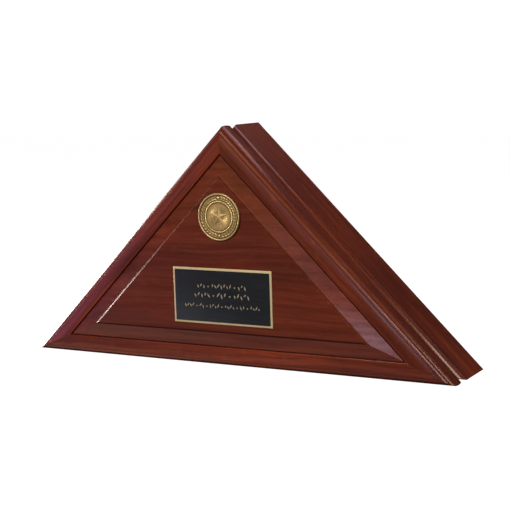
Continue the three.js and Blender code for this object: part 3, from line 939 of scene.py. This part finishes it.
def screw_mesh():
    """A countersunk screw with a cross recess. Its head's face is at the origin and looks along +Y."""
    outline = [(0, -12), (0.35, -11.4), (ROOT, -9.2)]
    for k in range(TURNS):
        start = THREAD_START + k * PITCH
        outline += [(ROOT, start), (CREST, start + 0.22), (ROOT, start + 0.44)]
    outline += [(CREST, -1.5), (CREST, -1.2), (2.44, -0.14), (2.5, -0.06), (2.42, 0), (0, 0)]
    blades = []
    for turn in (0, math.pi / 2):
        verts = [(sx * reach, y, sz * wide) for y, reach, wide in RECESS
                 for sx, sz in ((-1, -1), (1, -1), (1, 1), (-1, 1))]
        blade = new_mesh("blade", verts, skin(4, 2))
        blade.transform(Matrix.Rotation(turn, 4, "Y"))
        blades.append(blade)
    return combine(lathe("screw", outline, 32), blades, "DIFFERENCE")


def back_screw_frames(side):
    inset = (REBATE_INSET + BOARD) / 2
    back_y = REBATE_Y + BACK_GAP + BACK_THICKNESS
    start, end = (inset / math.tan(half) for half in side.half_angles)
    clear = side.length - start - end
    return [side.frame(start + part * clear, inset, back_y) for part in (0.14, 0.5, 0.86)]


def make_screws():
    dice = random.Random(5)
    template = screw_mesh()

    def put(node, body, material, seat, facing=FACES_BACK):
        turn = Matrix.Rotation(dice.uniform(0, math.pi), 4, "Y")
        finish_node(node, placed(template.copy(), seat @ facing @ turn), body, material)

    for name, side in SIDES.items():
        for i, seat in enumerate(back_screw_frames(side)):
            put(f"back_screw_{name}_{i + 1}", "case", STEEL, seat)
    for place, along in HINGE_PLACES.items():
        for body, sign, facing in (("case", 1, FACES_FRONT), ("door", -1, FACES_BACK)):
            for i, half in enumerate((-0.5, 0.5)):
                at = along + half * HINGE["screw_spacing"]
                seat = SIDES["left"].frame(at, HINGE["screw_inset"], HINGE_Y + sign * HINGE["offset"])
                put(f"{place}_hinge_{body}_screw_{i + 1}", body, HINGE_BRASS, seat, facing)
    for place, along in CATCH_PLACES.items():
        seat = SIDES["right"].frame(along, CATCH_INSET, DOOR_BACK_Y - CATCH_SINK)
        put(f"{place}_catch_strike_screw", "door", STEEL, seat)
    bpy.data.meshes.remove(template)


def barrel(start, end, radius, ease):
    """A cylinder along local X with eased ends."""
    half = (end - start) / 2
    ease = min(ease, radius * 0.5)
    outline = [(0, -half), (radius - ease, -half), (radius, -half + ease), (radius, half - ease),
               (radius - ease, half), (0, half)]
    mesh = lathe("barrel", outline)
    mesh.transform(Matrix.Translation(((start + end) / 2, 0, 0)) @ LIES_ALONG)
    return mesh


def leaf_plate(sign):
    """The flat of a leaf in local axes, with round outer corners and a small ease to its outer face."""
    half, width, corner = HINGE["length"] / 2, HINGE["leaf_width"], HINGE["corner"]
    outline = [(-half, 0), (half, 0)]
    outline += ellipse_arc((half - corner, width - corner), (corner, corner), 0, 90, 8)
    outline += ellipse_arc((corner - half, width - corner), (corner, corner), 90, 180, 8)
    near, far = HINGE["offset"], HINGE["offset"] + HINGE["leaf"]
    middle = Vector((0, width / 2))
    verts = []
    for y, shrink in ((near, 0.22), (near + 0.2, 0), (far, 0)):
        for x, z in outline:
            inwards = (middle - Vector((x, z))).normalized() * shrink
            verts.append((x + inwards.x, sign * y, z + inwards.y if z > 0 else z))
    return new_mesh("leaf", verts, skin(len(outline), 3))


def hinge_leaf(along, sign):
    """The case's leaf (sign 1) has the two outer knuckles, and the door's (sign -1) the middle one."""
    half, third, gap = HINGE["length"] / 2, HINGE["length"] / 6, HINGE["gap"]
    outer = [(-half, -third - gap / 2), (third + gap / 2, half)]
    inner = [(-third + gap / 2, third - gap / 2)]
    own, other = (outer, inner) if sign > 0 else (inner, outer)
    rooms = [barrel(a - gap, b + gap, HINGE["barrel"] + gap, 0.01) for a, b in other]
    mesh = combine(leaf_plate(sign), rooms, "DIFFERENCE")
    mesh = combine(mesh, [barrel(a, b, HINGE["barrel"], 0.25) for a, b in own], "UNION")
    holes = [barrel(-HINGE["length"], HINGE["length"], HINGE["bore"], 0.01)]
    face_y = sign * HINGE["offset"]
    for offset in (-0.5, 0.5):
        cone = lathe("cone", COUNTERSINK, 40)
        cone.transform(Matrix.Translation((offset * HINGE["screw_spacing"], face_y, HINGE["screw_inset"]))
                       @ (FACES_FRONT if sign > 0 else FACES_BACK))
        holes.append(cone)
    mesh = combine(mesh, holes, "DIFFERENCE")
    return placed(mesh, SIDES["left"].frame(along, 0, HINGE_Y))


def hinge_pin(along):
    """A straight pin with a domed head at each end."""
    half = HINGE["length"] / 2 + HINGE["gap"]
    head, pin = HINGE["pin_head"], HINGE["pin"]
    dome = ellipse_arc((0, half + 0.35), (head, 0.85), 0, 75, 5)
    outline = [(0, half + 1.2), *reversed(dome), (head, half), (pin, half)]
    outline += [(r, -y) for r, y in reversed(outline)]
    mesh = lathe("pin", outline, 40)
    mesh.transform(LIES_ALONG)
    return placed(mesh, SIDES["left"].frame(along, 0, HINGE_Y))


def make_hinges():
    for place, along in HINGE_PLACES.items():
        for body, sign in (("case", 1), ("door", -1)):
            finish_node(f"{place}_hinge_{body}_leaf", hinge_leaf(along, sign), body, HINGE_BRASS)
        finish_node(f"{place}_hinge_pin", hinge_pin(along), "case", HINGE_BRASS)


def make_catches():
    """A cup magnet in the case, and a dished steel strike on the door."""
    for place, along in CATCH_PLACES.items():
        seat = SIDES["right"].frame(along, CATCH_INSET, CASE_FRONT_Y + CATCH_SINK)
        finish_node(f"{place}_catch_magnet", placed(lathe("magnet", MAGNET), seat), "case", STEEL)
        seat = SIDES["right"].frame(along, CATCH_INSET, DOOR_BACK_Y - CATCH_SINK) @ FACES_FRONT
        finish_node(f"{place}_catch_strike", placed(lathe("strike", STRIKE), seat), "door", STEEL)


def make_bumpers():
    """Soft domed pads on the front edge of the case."""
    outline = [(0, 0), (3.9, 0), *ellipse_arc((0, 0.3), (4, 0.8), 0, 80, 8), (0, 1.1)]
    for name, side, part in (("left", "bottom", 0.2), ("right", "bottom", 0.8), ("top", "right", 0.88)):
        seat = SIDES[side].frame(part * SIDES[side].length, CATCH_INSET, CASE_FRONT_Y - BUMPER_SINK)
        pad = placed(lathe("bumper", outline), seat @ FACES_FRONT)
        finish_node(f"{name}_bumper", pad, "case", RUBBER)


def dress_keys():
    """The keys inside the mitres stay as the CAD made them, in bare wood."""
    for corner, angle in (("left", 22.5), ("right", 157.5), ("apex", -90)):
        for node in (f"case_{corner}_spline", f"door_{corner}_biscuit"):
            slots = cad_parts[node].data.materials
            slots.clear()
            slots.append(bare_wood(f"bare_{node}", math.radians(angle)))


# ------------ floor, light and camera

FLOOR_HALF = 6
FLOOR_DROP = 0.0002
ROOM_GLOW = (0.020, 0.019, 0.020)
# Where each bright area of the room lies, how tight it is, and its colour.
ROOM_LOBES = (
    ((-0.751, -0.652, -0.104), 100, (1.25, 0.45, 1.25)),
    ((-0.55, -0.68, -0.48), 14, (0.29, 0.28, 0.28)),
    ((-0.66, -0.42, -0.62), 40, (1.1, 0.68, 0.60)),
)
MIDDLE = (0.0, -0.03, 0.14)
# Name, target on the case, direction from there to the light, distance, size, watts, colour.
LIGHTS = (
    ("key", (0.20, -0.05, 0.04), (-0.090, -0.990, 0.100), 1.6, (0.28, 0.26), 0.72, (0.84, 0.74, 1.0)),
    ("corner", (0.27, -0.045, 0.04), (0.268, -0.865, 0.424), 1.4, (0.42, 0.36), 3.2, (0.93, 0.86, 1.0)),
    ("sheen", MIDDLE, (-0.16, -0.975, 0.155), 1.8, (0.7, 0.5), 0.60, (1.0, 0.52, 0.78)),
    ("front", MIDDLE, (-0.21, -0.792, 0.574), 1.9, (0.5, 0.5), 18.5, (1.0, 0.97, 0.95)),
    ("side", MIDDLE, (0.86, -0.42, 0.28), 1.7, (0.6, 0.5), 3.5, (1.0, 0.96, 0.95)),
    ("slope", (0.25, 0.02, 0.07), (0.75, 0.25, 0.60), 1.2, (0.5, 0.4), 4.6, (1.0, 0.94, 0.86)),
    ("hair", (0.02, -0.02, 0.30), (0.20, 0.62, 0.76), 1.4, (0.7, 0.3), 1.3, (0.94, 0.70, 0.92)),
    ("apex", (0.03, -0.04, 0.29), (0.16, 0.77, 0.617), 1.0, (0.16, 0.16), 0.22, (1.0, 0.56, 0.56)),
    ("left", (-0.2, -0.03, 0.10), (-0.955, 0.245, 0.165), 1.2, (1.0, 0.3), 16, (1.0, 0.99, 1.0)),
    ("rim", (-0.28, -0.03, 0.04), (-0.72, 0.69, 0.02), 1.3, (0.7, 0.24), 1.4, (0.97, 0.91, 1.0)),
)
# The camera's turns in degrees, its place in metres, and its sensor and lens in millimetres.
AZIMUTH, ELEVATION, ROLL = (math.radians(a) for a in (29.257, 7.906, -1.783))
DISTANCE, TARGET = 1.71714, Vector((0.0447, ORIGIN_Y * MM, 0.1536))
SENSOR, LENS = 36, 91.22605


def make_floor():
    """A pale floor that glows a little, so that it stays plain and even."""
    verts = [(x * FLOOR_HALF, y * FLOOR_HALF, 0) for x, y in ((-1, -1), (1, -1), (1, 1), (-1, 1))]
    mesh = bpy.data.meshes.new("floor")
    mesh.from_pydata(verts, [], [(0, 1, 2, 3)])
    floor = loose_object("floor", mesh)
    floor.location.z = -FLOOR_DROP
    n = Nodes("floor")
    mottle = n.noise(n.place(0, (3, 3, 3)), 2)
    mesh.materials.append(n.finish(
        colour=n.blend(mottle, (0.30, 0.30, 0.30), (0.34, 0.34, 0.34)), roughness=0.9,
        specular_ior_level=0.1, emission_color=(1.0, 1.0, 1.0), emission_strength=0.985,
    ))
    floor.visible_glossy = False
    floor.visible_diffuse = False


def area_light(name, target, direction, distance, size, watts, colour):
    """A rectangular softbox that faces a target from a direction. The camera doesn't see it."""
    lamp = bpy.data.lights.new(name, "AREA")
    lamp.shape = "RECTANGLE"
    lamp.size, lamp.size_y = size
    lamp.energy = watts
    lamp.color = colour
    made = loose_object(name, lamp)
    towards = Vector(direction).normalized()
    made.location = Vector(target) + towards * distance
    made.rotation_euler = towards.to_track_quat("Z", "Y").to_euler()
    made.visible_camera = False


def make_world():
    """White to the camera. To everything else, a dim room with a few soft bright areas."""
    world = bpy.data.worlds.new("studio")
    bpy.context.scene.world = world
    n = Tree(world)
    n.tree.nodes.clear()
    where = n.add("ShaderNodeTexCoord", output="Generated")
    total = n.add("ShaderNodeCombineXYZ", enumerate(ROOM_GLOW))
    for direction, tightness, colour in ROOM_LOBES:
        facing = n.vectors("DOT_PRODUCT", where, Vector(direction).normalized(), "Value")
        lobe = n.math("POWER", n.math("MAXIMUM", facing), tightness)
        glow = n.add("ShaderNodeVectorMath", {0: colour, "Scale": lobe}, operation="SCALE")
        total = n.vectors("ADD", total, glow)
    room = n.add("ShaderNodeBackground", {"Color": total, "Strength": 1.0})
    white = n.add("ShaderNodeBackground", {"Color": (1, 1, 1), "Strength": 1.1})
    path = n.add("ShaderNodeLightPath", output="Is Camera Ray")
    output = n.tree.nodes.new("ShaderNodeOutputWorld")
    n.set(output.inputs["Surface"], n.add("ShaderNodeMixShader", {0: path, 1: room, 2: white}))


def make_camera():
    """At the viewing angle of the reference: from the right of the front and a little above."""
    back = Vector((math.sin(AZIMUTH) * math.cos(ELEVATION), -math.cos(AZIMUTH) * math.cos(ELEVATION),
                   math.sin(ELEVATION)))
    right = Vector((0, 0, 1)).cross(back).normalized()
    camera = loose_object("camera", bpy.data.cameras.new("camera"))
    camera.data.sensor_width = SENSOR
    camera.data.lens = LENS
    place = Matrix((right, back.cross(right), back)).transposed().to_4x4() @ Matrix.Rotation(ROLL, 4, "Z")
    place.translation = TARGET + back * DISTANCE
    camera.matrix_world = place
    bpy.context.scene.camera = camera


bpy.context.scene.view_settings.view_transform = "Standard"
make_camera()
make_floor()
make_world()
for light in LIGHTS:
    area_light(*light)
make_case()
make_door()
make_name_plate()
make_medallion()
make_screws()
make_hinges()
make_catches()
make_bumpers()
dress_keys()

bpy.context.view_layer.update()
